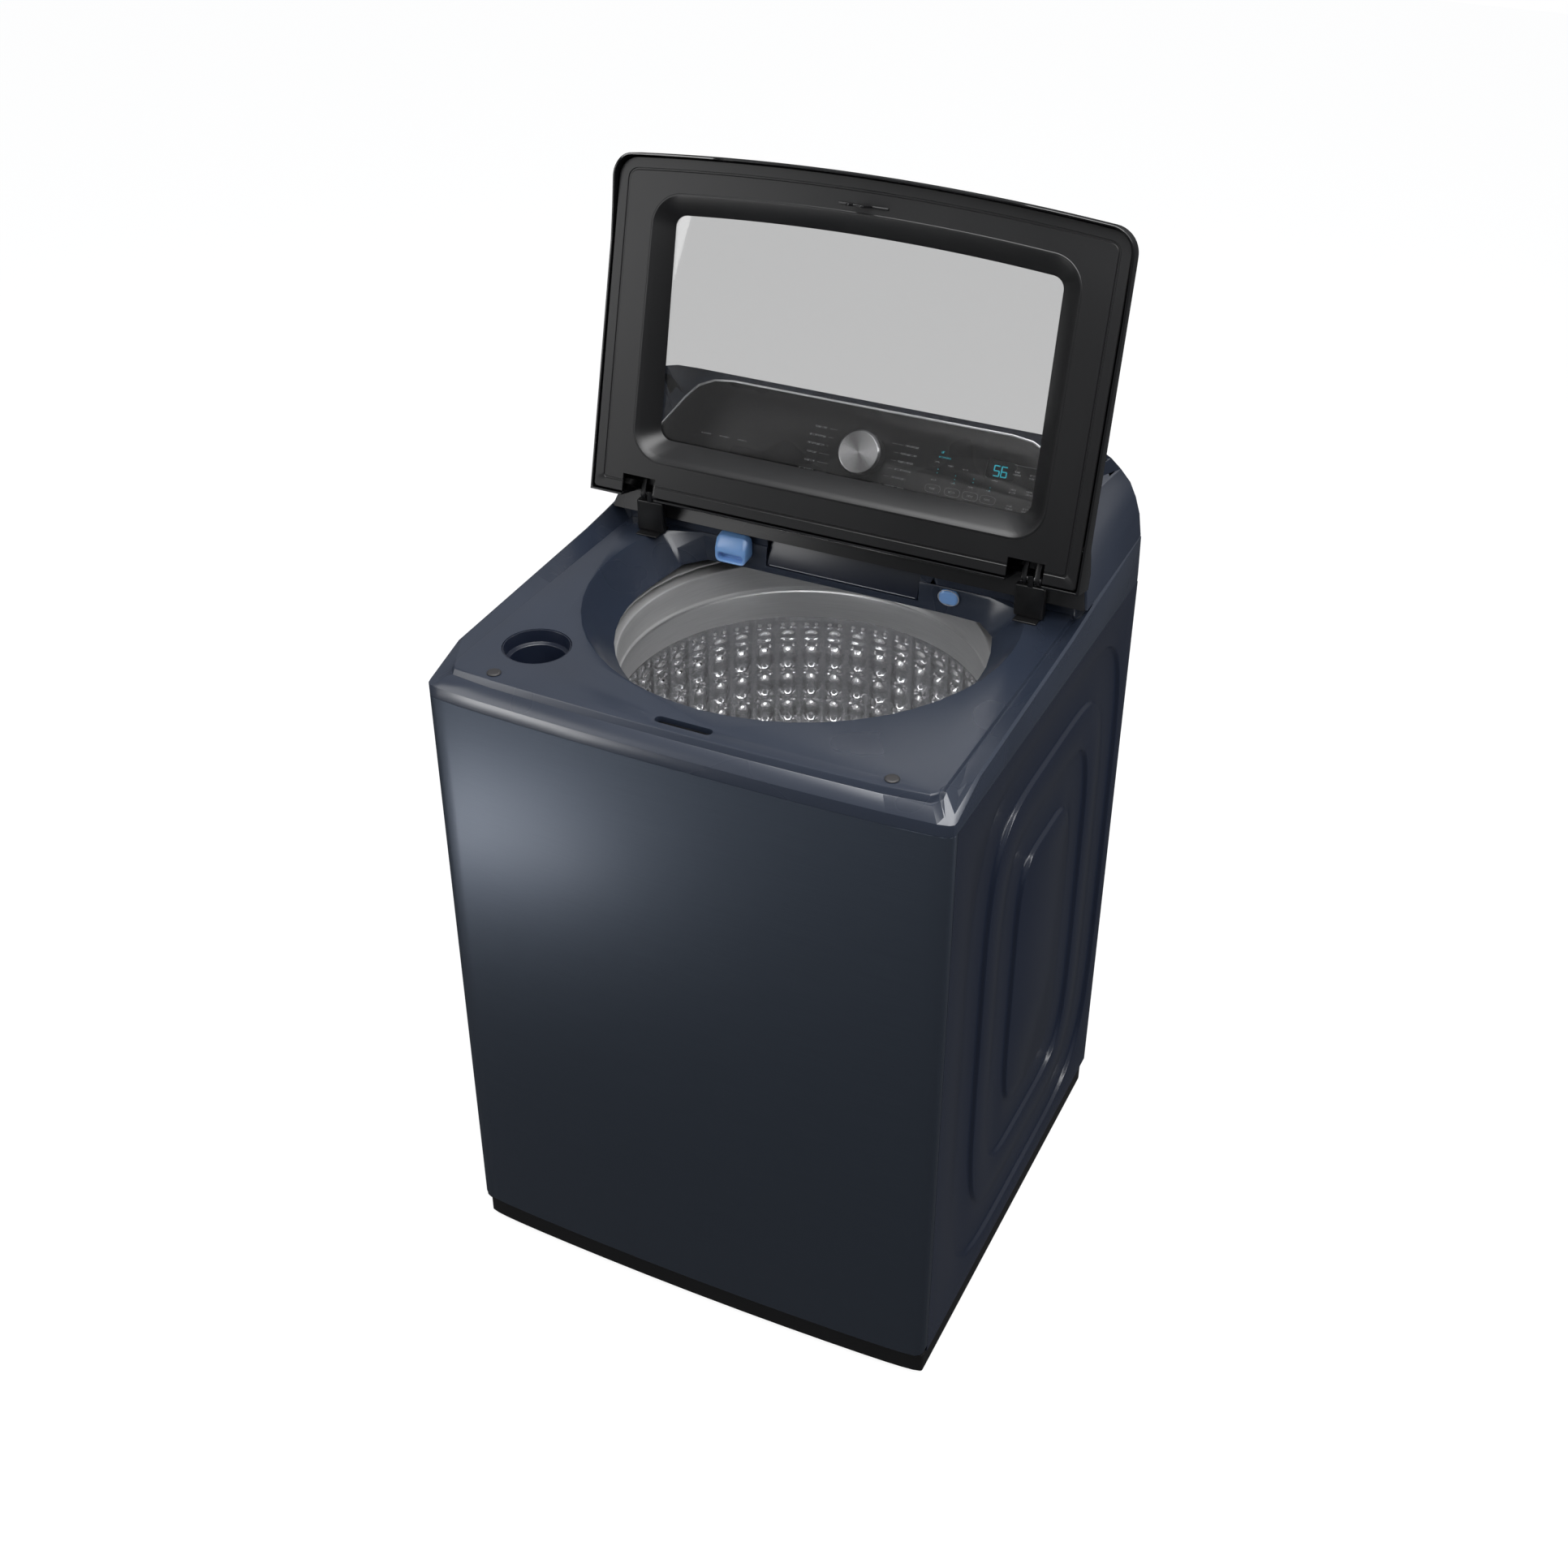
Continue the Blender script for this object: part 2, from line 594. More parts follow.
# ---- What is let into the top cover -------------------------------------------------------
CUP_PLACE = (-0.2515, -0.2325)         # bleach cup
CUP_R = 0.0435
CUP_DEPTH = 0.0548
SLOT_Y = -0.3146                       # lid lock slot
SLOT_SIZE = (0.076, 0.0132)
BUMPER_PLACE = (0.264, -0.311)
DRAWER_HALF = 0.1105
DRAWER_LOW_Z = 0.9225
DRAWER_HIGH_Z = 0.9600
DRAWER_BACK_Y = 0.285
SPOUT_X = -0.157
BUTTON_X = 0.155
BUTTON_Z = 0.9365
BUTTON_SIZE = (0.027, 0.020)
LOCK_HALF = 0.046
LOCK_LOW_Z = 0.912
LOCK_BACK_Y = -0.2835
DECK_UNDER_Z = DECK_Z - 0.0075


def drawer_mouth(spare):
    return (DRAWER_HALF + spare, DRAWER_LOW_Z - spare, DRAWER_HIGH_Z + spare)


def cut_top_cover(cover):
    """Holes for the bleach cup, the lock slot, the drawer and the rinse button."""
    half, low, high = drawer_mouth(0.0015)
    button = rounded_box(-BUTTON_SIZE[0] / 2 - FIT, BUTTON_SIZE[0] / 2 + FIT,
                         -BUTTON_SIZE[1] / 2 - FIT, BUTTON_SIZE[1] / 2 + FIT, 0.0085, 4)
    slot = rounded_box(-SLOT_SIZE[0] / 2, SLOT_SIZE[0] / 2, SLOT_Y - SLOT_SIZE[1] / 2,
                       SLOT_Y + SLOT_SIZE[1] / 2, SLOT_SIZE[1] / 2 - 0.0001, 5)
    tools = [
        prism(circle(CUP_R + FIT, 28, CUP_PLACE), DECK_Z - 0.020, DECK_Z + 0.010),
        prism(slot, DECK_Z - 0.020, DECK_Z + 0.010),
        box((-half, RECESS_Y - 0.012, low), (half, RECESS_Y + 0.012, high)),
        prism(button, -0.012, 0.012, along_y(BUTTON_X, RECESS_Y, BUTTON_Z)),
    ]
    cut(cover, piece("top_cover_holes", joined(tools), "dark_steel"))


def make_bleach_cup():
    top = DECK_Z - 0.0006
    floor = top - CUP_DEPTH
    step = top - 0.017
    r = CUP_R
    profile = [(0, floor), (r - 0.006, floor), (r, floor + 0.025), (r, top), (r - 0.002, top),
               (r - 0.002, step), (r - 0.008, step - 0.001), (r - 0.009, floor + WALL), (0, floor + WALL)]
    piece("bleach_cup", turned(profile, 28, at(*CUP_PLACE)), "navy_plastic")


def make_lid_lock():
    """Lock box under the slot, with its cavity and bolt channel, and the sliding bolt."""
    top = DECK_UNDER_Z - GAP
    front = SLOT_Y - SLOT_SIZE[1] / 2 - WALL
    well = (SLOT_Y - SLOT_SIZE[1] / 2, SLOT_Y + SLOT_SIZE[1] / 2)
    housing = piece("lid_lock_housing", box((-LOCK_HALF, front, LOCK_LOW_Z), (LOCK_HALF, LOCK_BACK_Y, top)),
                    "black_satin")
    bolt_z = (LOCK_LOW_Z + 0.0105, LOCK_LOW_Z + 0.0195)
    bolt_half = 0.0055
    well_box = box((-SLOT_SIZE[0] / 2, well[0], LOCK_LOW_Z + 0.004),
                   (SLOT_SIZE[0] / 2, well[1], top + 0.01))
    channel = box((-bolt_half - FIT, well[1] - 0.002, bolt_z[0] - FIT),
                  (bolt_half + FIT, LOCK_BACK_Y - WALL, bolt_z[1] + FIT))
    cut(housing, piece("lid_lock_well", well_box, "black_satin"))
    cut(housing, piece("lid_lock_channel", channel, "black_satin"))
    tip = well[1] - 0.002
    pivot = pivot_at("lid_lock_bolt_axis", (0, tip, bolt_z[0]))
    piece("lid_lock_bolt", box((-bolt_half, 0, 0), (bolt_half, LOCK_BACK_Y - WALL - FIT - tip,
                                                    bolt_z[1] - bolt_z[0])),
          "white_plastic", pivot)


def make_lid_bumpers():
    profile = [(0, 0), (0.009, 0), (0.009, 0.001), (0.007, 0.0022), (0, 0.0022)]
    for side, name in ((-1, "lid_bumper_left"), (1, "lid_bumper_right")):
        place = at(side * BUMPER_PLACE[0], BUMPER_PLACE[1], DECK_Z + GAP)
        piece(name, turned(profile, 16, place), "black_rubber")


def make_dispenser():
    """Drawer housing behind the back wall, and the drawer with its two cups."""
    half, low, high = drawer_mouth(0.0035)
    front = RECESS_Y + WALL + 0.001
    back = DRAWER_BACK_Y + 0.008
    housing = piece("drawer_housing", box((-half - 0.0025, front, low - 0.0025),
                                          (half + 0.0025, back + 0.0025, SHELF_Z - WALL + 0.001)),
                    "navy_plastic")
    cavity = box((-half + 0.001, front - 0.01, low + 0.001), (half - 0.001, back, high - 0.0015))
    cut(housing, piece("drawer_housing_cavity", cavity, "navy_plastic"))
    face_low_y = RECESS_Y - 0.0045
    outline = [(0.0, DRAWER_LOW_Z), (0.0, DRAWER_LOW_Z + 0.003), (0.015, DRAWER_HIGH_Z),
               (0.018, DRAWER_HIGH_Z),
               (0.020, DRAWER_HIGH_Z - 0.009), (DRAWER_BACK_Y - face_low_y, DRAWER_HIGH_Z - 0.009),
               (DRAWER_BACK_Y - face_low_y, DRAWER_LOW_Z)]
    pivot = pivot_at("drawer_axis", (0, face_low_y, 0))
    sideways = Matrix(((0, 0, 1, 0), (1, 0, 0, 0), (0, 1, 0, 0), (0, 0, 0, 1)))
    drawer = piece("detergent_drawer", prism(outline, -DRAWER_HALF, DRAWER_HALF, sideways), "navy_plastic",
                   pivot, smooth=False)
    y0, y1 = 0.024, DRAWER_BACK_Y - face_low_y - WALL
    wall = 0.0015
    z0 = DRAWER_LOW_Z + 0.002
    pockets = [box((-DRAWER_HALF + WALL, y0, z0), (-wall, y1, 1.0)),
               box((wall, y0, z0), (DRAWER_HALF - WALL, y1, 1.0))]
    cut(drawer, piece("drawer_cups", joined(pockets), "navy_plastic", pivot))


def make_spout_and_button():
    """Water jet spout on the back wall, and its push button through the wall."""
    wall_y = RECESS_Y - 0.006

    def ring(y, half, low, high, radius):
        return [(SPOUT_X + x, y, z) for x, z in rounded_box(-half, half, low, high, radius, 3)]

    rings = [ring(wall_y, 0.025, 0.926, 0.9635, 0.010), ring(wall_y - 0.010, 0.025, 0.925, 0.9605, 0.010),
             ring(wall_y - 0.018, 0.023, 0.924, 0.949, 0.007),
             ring(wall_y - 0.0195, 0.0215, 0.9245, 0.940, 0.006),
             ring(wall_y - 0.0185, 0.0185, 0.927, 0.9375, 0.004),
             ring(wall_y - 0.008, 0.0175, 0.9275, 0.937, 0.004)]
    piece("water_jet_spout", loft(rings), "light_blue")
    pivot = pivot_at("water_jet_button_axis", (BUTTON_X, wall_y - 0.002, BUTTON_Z))
    w, h = BUTTON_SIZE[0] / 2, BUTTON_SIZE[1] / 2
    depth = 0.018
    levels = ((0.0, 0.0025), (0.0012, 0.0008), (0.0025, 0.0), (depth, 0.0))
    rings = [[(x, y, z) for x, z in rounded_box(inset - w, w - inset, inset - h, h - inset, 0.0078 - inset,
                                                4)]
             for y, inset in levels]
    piece("water_jet_button", loft(rings), "light_blue", pivot)


# ---- Lid ----------------------------------------------------------------------------------
# Lid coordinates: x across, s from the hinge edge to the front, b above the underside.
LID_HALF = LID_WIDTH / 2
LID_TOP = ((0.0, 0.0535), (0.022, 0.0520), (0.055, 0.0345), (0.40, 0.0215), (0.44, 0.0170), (0.47, 0.0100))
LID_SKIRT = ((0.33, 0.0), (0.371, -0.0035), (0.425, -0.0100), (0.4315, -0.0115), (0.4405, -0.0155),
             (0.449, -0.0195))
LID_CENTRE = (0.0, 0.231)
HINGE_X = 0.274
POCKET = (0.250, 0.299)                # across, each side
POCKET_DEPTH = 0.030
INNER_FACE = 0.001                     # lower face of the inner frame above the underside plane
STRIKE_HALF = 0.012


def follow(table, at_value):
    if at_value <= table[0][0]:
        return table[0][1]
    for (sa, ba), (sb, bb) in zip(table, table[1:]):
        if at_value <= sb:
            return ba + (bb - ba) * (at_value - sa) / (sb - sa)
    return table[-1][1]


def lid_point(x, s, b):
    """A point of the closed lid, measured from the hinge axis."""
    c, t = math.cos(LID_CLOSED_TILT), math.sin(LID_CLOSED_TILT)
    up = b - LID_PIN_DEPTH
    return Vector((x, -s * c - up * t, -s * t + up * c))


def lid_outline(inset):
    """Plan of the lid in (x, s): straight hinge edge, round corners, bowed front."""
    r = LID_CORNER_R
    x_edge = LID_HALF - inset
    points = [(-x_edge, inset), (x_edge, inset)]
    for i in range(6):
        a = math.radians(90 * i / 5)
        points.append((LID_HALF - r + (r - inset) * math.cos(a),
                       LID_CORNER_LENGTH - r + (r - inset) * math.sin(a)))
    for u in (0.75, 0.5, 0.25, 0.0, -0.25, -0.5, -0.75):
        points.append((u * (LID_HALF - r), LID_CORNER_LENGTH - inset + LID_BOW * (1 - u * u)))
    points += [(-x, s) for x, s in points[7:1:-1]]
    return points


def window_outline(grow):
    """The lid window in (x, s); its front edge follows the lid's."""
    r = 0.022 + grow
    half = GLASS_HALF + grow
    low, high = GLASS_FROM - grow, GLASS_TO - 0.010 + grow
    points = rounded_box(-half, half, low, high, r, 4)
    lifted = []
    for x, s in points:
        lifted.append((x, s))
    bow = [(u * (half - r), high + 0.010 * (1 - u * u)) for u in (0.66, 0.33, 0.0, -0.33, -0.66)]
    return lifted[:10] + bow + lifted[10:]


def lid_angles():
    special = [math.atan2(0.0 - LID_CENTRE[1], LID_HALF), math.atan2(0.0 - LID_CENTRE[1], -LID_HALF)]
    corner = (LID_HALF - 0.010, LID_CORNER_LENGTH - 0.010)
    for dx, ds in ((0.008, -0.020), (0.003, -0.003), (-0.020, 0.008)):
        a = math.atan2(corner[1] + ds - LID_CENTRE[1], corner[0] + dx)
        special += [a, math.pi - a]
    for x, s in ((GLASS_HALF, GLASS_TO - 0.016), (GLASS_HALF, GLASS_FROM + 0.006)):
        a = math.atan2(s - LID_CENTRE[1], x)
        special += [a, math.pi - a]
    return sorted(a % (2 * math.pi) for a in [2 * math.pi * i / 36 for i in range(36)] + special)


def lid_ring(outline, height):
    return [lid_point(x, s, height(s)) for x, s in along_rays(outline, LID_CENTRE, lid_angles())]


def lid_top(drop):
    return lambda s: follow(LID_TOP, s) - drop


def make_lid(pivot):
    """Lid casing, inner frame, window, strike and the two hinge knuckles."""
    def foot(s):
        return follow(LID_SKIRT, s)

    rings = [
        lid_ring(lid_outline(0.0), foot),
        lid_ring(lid_outline(0.0), lid_top(0.010)),
        lid_ring(lid_outline(0.003), lid_top(0.003)),
        lid_ring(lid_outline(0.011), lid_top(0.0)),
        lid_ring(window_outline(0.0008), lid_top(0.0)),
        lid_ring(window_outline(0.0008), lid_top(0.0060)),
        lid_ring(window_outline(0.0040), lid_top(0.0060)),
        lid_ring(window_outline(0.0040), lid_top(0.0030)),
        lid_ring(lid_outline(0.012), lid_top(0.0030)),
        lid_ring(lid_outline(0.0055), lid_top(0.0070)),
        lid_ring(lid_outline(0.0028), lid_top(0.0120)),
        lid_ring(lid_outline(0.0028), foot),
    ]
    outer = piece("lid_outer_frame", loft(rings, closed=True), "black_gloss", pivot)

    rings = [
        lid_ring(lid_outline(0.0050), lambda s: INNER_FACE + 0.0025),
        lid_ring(lid_outline(0.0050), lambda s: INNER_FACE),
        lid_ring(window_outline(0.020), lambda s: INNER_FACE),
        lid_ring(window_outline(0.016), lambda s: INNER_FACE + 0.003),
        lid_ring(window_outline(-0.006), lid_top(GLASS_T + 0.0011 + GAP)),
        lid_ring(window_outline(-0.002), lid_top(GLASS_T + 0.0011 + GAP)),
        lid_ring(window_outline(0.0185), lambda s: INNER_FACE + 0.0060),
        lid_ring(window_outline(0.0235), lambda s: INNER_FACE + 0.0025),
    ]
    inner = piece("lid_inner_frame", loft(rings, closed=True), "black_satin", pivot)

    rings = [lid_ring(window_outline(0.0), lid_top(GLASS_T + 0.0011)),
             lid_ring(window_outline(0.0), lid_top(0.0011))]
    piece("lid_glass", loft(rings), "smoked_glass", pivot)

    for target, name in ((outer, "lid_outer_pockets"), (inner, "lid_inner_pockets")):
        tools = []
        for side in (-1, 1):
            low, high = sorted((side * POCKET[0], side * POCKET[1]))
            tools.append(lid_bar(low, high, [(-0.010, -0.010), (POCKET_DEPTH, -0.010),
                                             (POCKET_DEPTH, 0.0432),
                                             (0.012, 0.0485), (-0.010, 0.0485)]))
        cut(target, piece(name, joined(tools), "black_satin", pivot))

    strike = piece("lid_strike", lid_hook(), "black_satin", pivot)
    hole_b = LOCK_LOW_Z + 0.015
    hole = box((-0.0066, -0.03, hole_b - LID_HINGE_Z - 0.0062),
               (0.0066, 0.03, hole_b - LID_HINGE_Z + 0.0062))
    bmesh.ops.translate(hole, verts=hole.verts, vec=(0, STRIKE_Y - LID_HINGE_Y, 0))
    cut(strike, piece("lid_strike_hole", hole, "black_satin", pivot))
    for side, name in ((-1, "lid_hinge_knuckle_left"), (1, "lid_hinge_knuckle_right")):
        make_knuckle(name, side, pivot)


STRIKE_Y = SLOT_Y + 0.0021


def lid_bar(x0, x1, outline):
    """A bar across the lid whose section is an outline of (s, b) points."""
    bm = bmesh.new()
    rows = [[bm.verts.new(lid_point(x, s, b)) for s, b in outline] for x in (x0, x1)]
    count = len(outline)
    for i in range(count):
        j = (i + 1) % count
        bm.faces.new((rows[0][i], rows[0][j], rows[1][j], rows[1][i]))
    bm.faces.new(rows[0])
    bm.faces.new(rows[1])
    bmesh.ops.recalc_face_normals(bm, faces=bm.faces)
    return bm


def lid_hook():
    """Upright tongue below a small plate under the front of the inner frame."""
    y = STRIKE_Y - LID_HINGE_Y
    plate_z = lid_point(0, -y, INNER_FACE - GAP).z
    plate_low = plate_z - 0.0018
    tip = LOCK_LOW_Z + 0.009 - LID_HINGE_Z
    half_y = 0.0015
    wide = 0.033
    outline = [(-wide, plate_z), (-wide, plate_low), (-STRIKE_HALF, plate_low), (-STRIKE_HALF, tip + 0.003),
               (-STRIKE_HALF + 0.003, tip), (STRIKE_HALF - 0.003, tip), (STRIKE_HALF, tip + 0.003),
               (STRIKE_HALF, plate_low), (wide, plate_low), (wide, plate_z)]
    upright = Matrix(((1, 0, 0, 0), (0, 0, 1, 0), (0, 1, 0, 0), (0, 0, 0, 1)))
    return prism(outline, y - half_y, y + half_y, upright)


def make_knuckle(name, side, pivot):
    """Two ears on a plate, inside the lid, with a bore for the hinge pin."""
    pin_r = 0.004
    outline = [(0.0075 * math.cos(math.radians(d)), LID_PIN_DEPTH + 0.0075 * math.sin(math.radians(d)))
               for d in range(75, 301, 25)]
    outline += [(0.012, LID_PIN_DEPTH - 0.0060), (0.027, LID_PIN_DEPTH - 0.0020),
                (0.027, LID_PIN_DEPTH + 0.0040)]
    x = side * HINGE_X
    ears = [lid_bar(x + near, x + far, outline) for near, far in ((-0.0120, -0.0055), (0.0055, 0.0120))]
    low, high = LID_PIN_DEPTH + 0.0010, LID_PIN_DEPTH + 0.0038
    plate = lid_bar(x - 0.0120, x + 0.0120, [(0.012, low), (0.028, low), (0.028, high), (0.012, high)])
    knuckle = piece(name, plate, "dark_steel", pivot)
    cut(knuckle, piece(name + "_ears", joined(ears), "dark_steel", pivot), "UNION")
    across = Matrix.Translation((side * HINGE_X, 0, 0)) @ Matrix.Rotation(math.radians(90), 4, "Y")
    cut(knuckle, piece(name + "_bore", prism(circle(pin_r + GAP, 14), -0.03, 0.03, across), "dark_steel",
                       pivot))


def make_hinge_posts():
    """Hinge posts on the deck: foot plate, upright and the pin through its top."""
    for side, name in ((-1, "lid_hinge_post_left"), (1, "lid_hinge_post_right")):
        x = side * HINGE_X
        foot = DECK_Z + GAP
        post = piece(name, box((x - 0.016, LID_HINGE_Y - 0.018, foot),
                               (x + 0.016, LID_HINGE_Y + 0.018, foot + 0.002)),
                     "dark_steel")
        upright = box((x - 0.004, LID_HINGE_Y - 0.0055, foot + 0.001),
                      (x + 0.004, LID_HINGE_Y + 0.0055, LID_HINGE_Z + 0.0055))
        across = Matrix.Translation((x, LID_HINGE_Y, LID_HINGE_Z)) @ Matrix.Rotation(math.radians(90), 4,
                                                                                     "Y")
        pin = prism(circle(0.004, 12), -0.0125, 0.0125, across)
        cut(post, piece(name + "_upright", upright, "dark_steel"), "UNION")
        cut(post, piece(name + "_pin", pin, "steel"), "UNION")


# ---- Console ------------------------------------------------------------------------------
FACE_OUTLINE = ((0.345, 0.0), (0.335, 0.040), (0.320, 0.078), (0.299, 0.119), (0.282, 0.1445),
                (0.268, 0.166),
                (0.251, 0.1855), (0.228, 0.1962), (0.200, CONSOLE_FACE))
REAR_OUTLINE = ((0.350, 0.0), (0.350, 0.040), (0.348, 0.072), (0.343, 0.100), (0.334, 0.124),
                (0.324, 0.143),
                (0.311, 0.156), (0.290, 0.1625), (0.260, 0.1640))
REAR_PROFILE = ((0.0, CONSOLE_REAR_Y), (0.040, 0.304), (0.100, 0.2675), (0.145, 0.2340), (0.164, 0.2200))
TRIM = 0.0032
FASCIA_T = 0.0037
KNOB_FACE = (0.006, 0.138)             # knob centre on the face: x, height
KNOB_R = 0.030
KNOB_DEPTH = 0.024
DISPLAY = (0.194, 0.152)


def face_point(x, h, out=0.0):
    """A point of the console's face: x, height along the slope, distance in front of it."""
    c, s = math.cos(CONSOLE_LEAN), math.sin(CONSOLE_LEAN)
    y = CONSOLE_FRONT_Y + h * s - out * c
    z = SHELF_Z + h * c + out * s
    return Vector((x, y, max(z, shelf_z(y)) + 2 * GAP))


def face_ring(inset, out, ceiling=1.0):
    """Outline of the face, inset from its sides and top, right foot first."""
    right = []
    points = list(FACE_OUTLINE)
    for i, (x, h) in enumerate(points):
        ax, ah = points[max(i - 1, 0)]
        bx, bh = points[min(i + 1, len(points) - 1)]
        nx, nh = bh - ah, ax - bx
        size = math.hypot(nx, nh)
        right.append((x - inset * nx / size,
                      min(h - inset * nh / size if i else h, ceiling - 0.0002 * (9 - i))))
    ring = [face_point(x, h, out) for x, h in right]
    return ring + [face_point(-x, h, out) for x, h in reversed(right)]


def rear_ring(inset, ceiling=1.0):
    foot = shelf_z(CONSOLE_REAR_Y) + GAP + 0.0005
    right = []
    for x, h in REAR_OUTLINE:
        y = follow(REAR_PROFILE, h)
        height = h - inset if h > 0.15 else h
        right.append((x - inset, y - inset, foot + min(height, ceiling - 0.0002 * (9 - len(right)))))
    return right + [(-x, y, z) for x, y, z in reversed(right)]


def ladder_loft(*rings):
    """Skin rings that are mirror images left to right, with flat rungs across both ends."""
    bm = bmesh.new()
    rows = [[bm.verts.new(p) for p in ring] for ring in rings]
    count = len(rings[0])
    for low, high in zip(rows, rows[1:]):
        for i in range(count):
            j = (i + 1) % count
            if i < count // 2:
                bm.faces.new((low[i], low[j], high[j]))
                bm.faces.new((low[i], high[j], high[i]))
            else:
                bm.faces.new((low[i], low[j], high[i]))
                bm.faces.new((low[j], high[j], high[i]))
    for row in (rows[0], rows[-1]):
        for i in range(count // 2 - 1):
            bm.faces.new((row[i], row[i + 1], row[count - 2 - i], row[count - 1 - i]))
    bmesh.ops.recalc_face_normals(bm, faces=bm.faces)
    return bm


def lifted_feet(ring):
    """The same ring with its two foot points raised by a floor's thickness."""
    last = len(ring) - 1
    return [Vector(p) + Vector((0, 0, WALL if i in (0, last) else 0)) for i, p in enumerate(ring)]


def make_console():
    """Console housing, silver trim, black fascia, display window, board, knob and encoder."""
    shell = piece("console_housing", ladder_loft(face_ring(0.0, -FASCIA_T - GAP), rear_ring(0.0)),
                  "navy_plastic")
    inset = 1.5 * WALL
    rings = (face_ring(inset, 0.02, 0.182), face_ring(inset, -FASCIA_T - GAP, 0.182),
             rear_ring(inset, 0.146))
    cavity = piece("console_cavity", ladder_loft(*[lifted_feet(ring) for ring in rings]), "navy_plastic")
    cut(shell, cavity)

    outer, inner = face_ring(0.0, 0.0)[1:-1], face_ring(TRIM - GAP, 0.0)[1:-1]
    low = face_ring(0.0, -FASCIA_T)[1:-1], face_ring(TRIM - GAP, -FASCIA_T)[1:-1]
    bm = bmesh.new()
    rows = [[bm.verts.new(p) for p in ring] for ring in (outer, inner, low[1], low[0])]
    for i in range(len(outer) - 1):
        for k in range(4):
            a, b = rows[k], rows[(k + 1) % 4]
            bm.faces.new((a[i], a[i + 1], b[i + 1], b[i]))
    for end in (0, -1):
        bm.faces.new([row[end] for row in rows])
    piece("console_trim", bm, "silver")

    fascia = piece("console_fascia", ladder_loft(face_ring(TRIM, -0.0004), face_ring(TRIM, -FASCIA_T)),
                   "black_gloss")
    turn = Matrix.Rotation(math.pi / 2 - CONSOLE_LEAN, 4, "X")
    knob_axis = Matrix.Translation(face_point(*KNOB_FACE)) @ turn
    window_place = Matrix.Translation(face_point(*DISPLAY)) @ turn
    tools = joined([prism(circle(0.0045 + FIT, 16), -0.02, 0.02, knob_axis),
                    prism(rounded_box(-0.020, 0.020, -0.012, 0.012, 0.003, 2), -0.02, 0.02, window_place)])
    cut(fascia, piece("console_fascia_holes", tools, "black_gloss"))
    pane = prism(rounded_box(-0.0195, 0.0195, -0.0115, 0.0115, 0.0025, 2), -FASCIA_T, -0.0006, window_place)
    piece("display_window", pane, "display_cyan")
    board_place = Matrix.Translation(face_point(0.09, 0.118, -FASCIA_T - 0.012)) @ turn
    board = piece("control_board", prism([(-0.15, -0.055), (0.15, -0.055), (0.15, 0.055), (-0.15, 0.055)],
                                         -0.0016, 0.0, board_place), "board_green")
    cut(board, piece("control_board_hole", prism(circle(0.0105, 16), -0.02, 0.02, knob_axis),
                     "board_green"))
    encoder = [(0.0, -0.030), (0.0095, -0.030), (0.0095, -FASCIA_T - 0.0045), (0.0, -FASCIA_T - 0.0045)]
    piece("knob_encoder", turned(encoder, 16, knob_axis), "black_satin")

    pivot = bpy.data.objects.new("cycle_knob_axis", None)
    pivot.matrix_world = knob_axis
    bpy.context.scene.collection.objects.link(pivot)
    r, d = KNOB_R, KNOB_DEPTH
    profile = [(0, d), (r - 0.0025, d), (r - 0.001, d - 0.001), (r, 0.002), (r, 0.0008), (0.0045, 0.0008),
               (0.0045, -FASCIA_T - 0.004), (0, -FASCIA_T - 0.004)]
    piece("cycle_knob", turned(profile, 32), "silver", pivot)


# ---- Tub, drum and drive ------------------------------------------------------------------
AXIS = (0.0, TUB_Y, 0.0)
BEARING_R = 0.026
BEARING_H = 0.015
BOSS_R = 0.045
BOSS_LOW_Z = 0.165
BOSS_TOP_Z = 0.232
LUG_Z = ROD_SEAT_Z + 0.0065 + SPRING_Z + GAP
LUG_T = 0.013
LUG_HOLE_R = 0.006
TUB_STEPS = 36
TUB_WALL = 0.003
FRAME_MOUTH_R = 0.312
PUMP_ANGLE = math.radians(-45)
PUMP_AT = 0.200
PUMP_R = 0.036


def rod_places():
    for end, y in (("front", TUB_Y - ROD_Y), ("rear", TUB_Y + ROD_Y)):
        for side, x in (("left", -ROD_X), ("right", ROD_X)):
            yield f"{end}_{side}", x, y


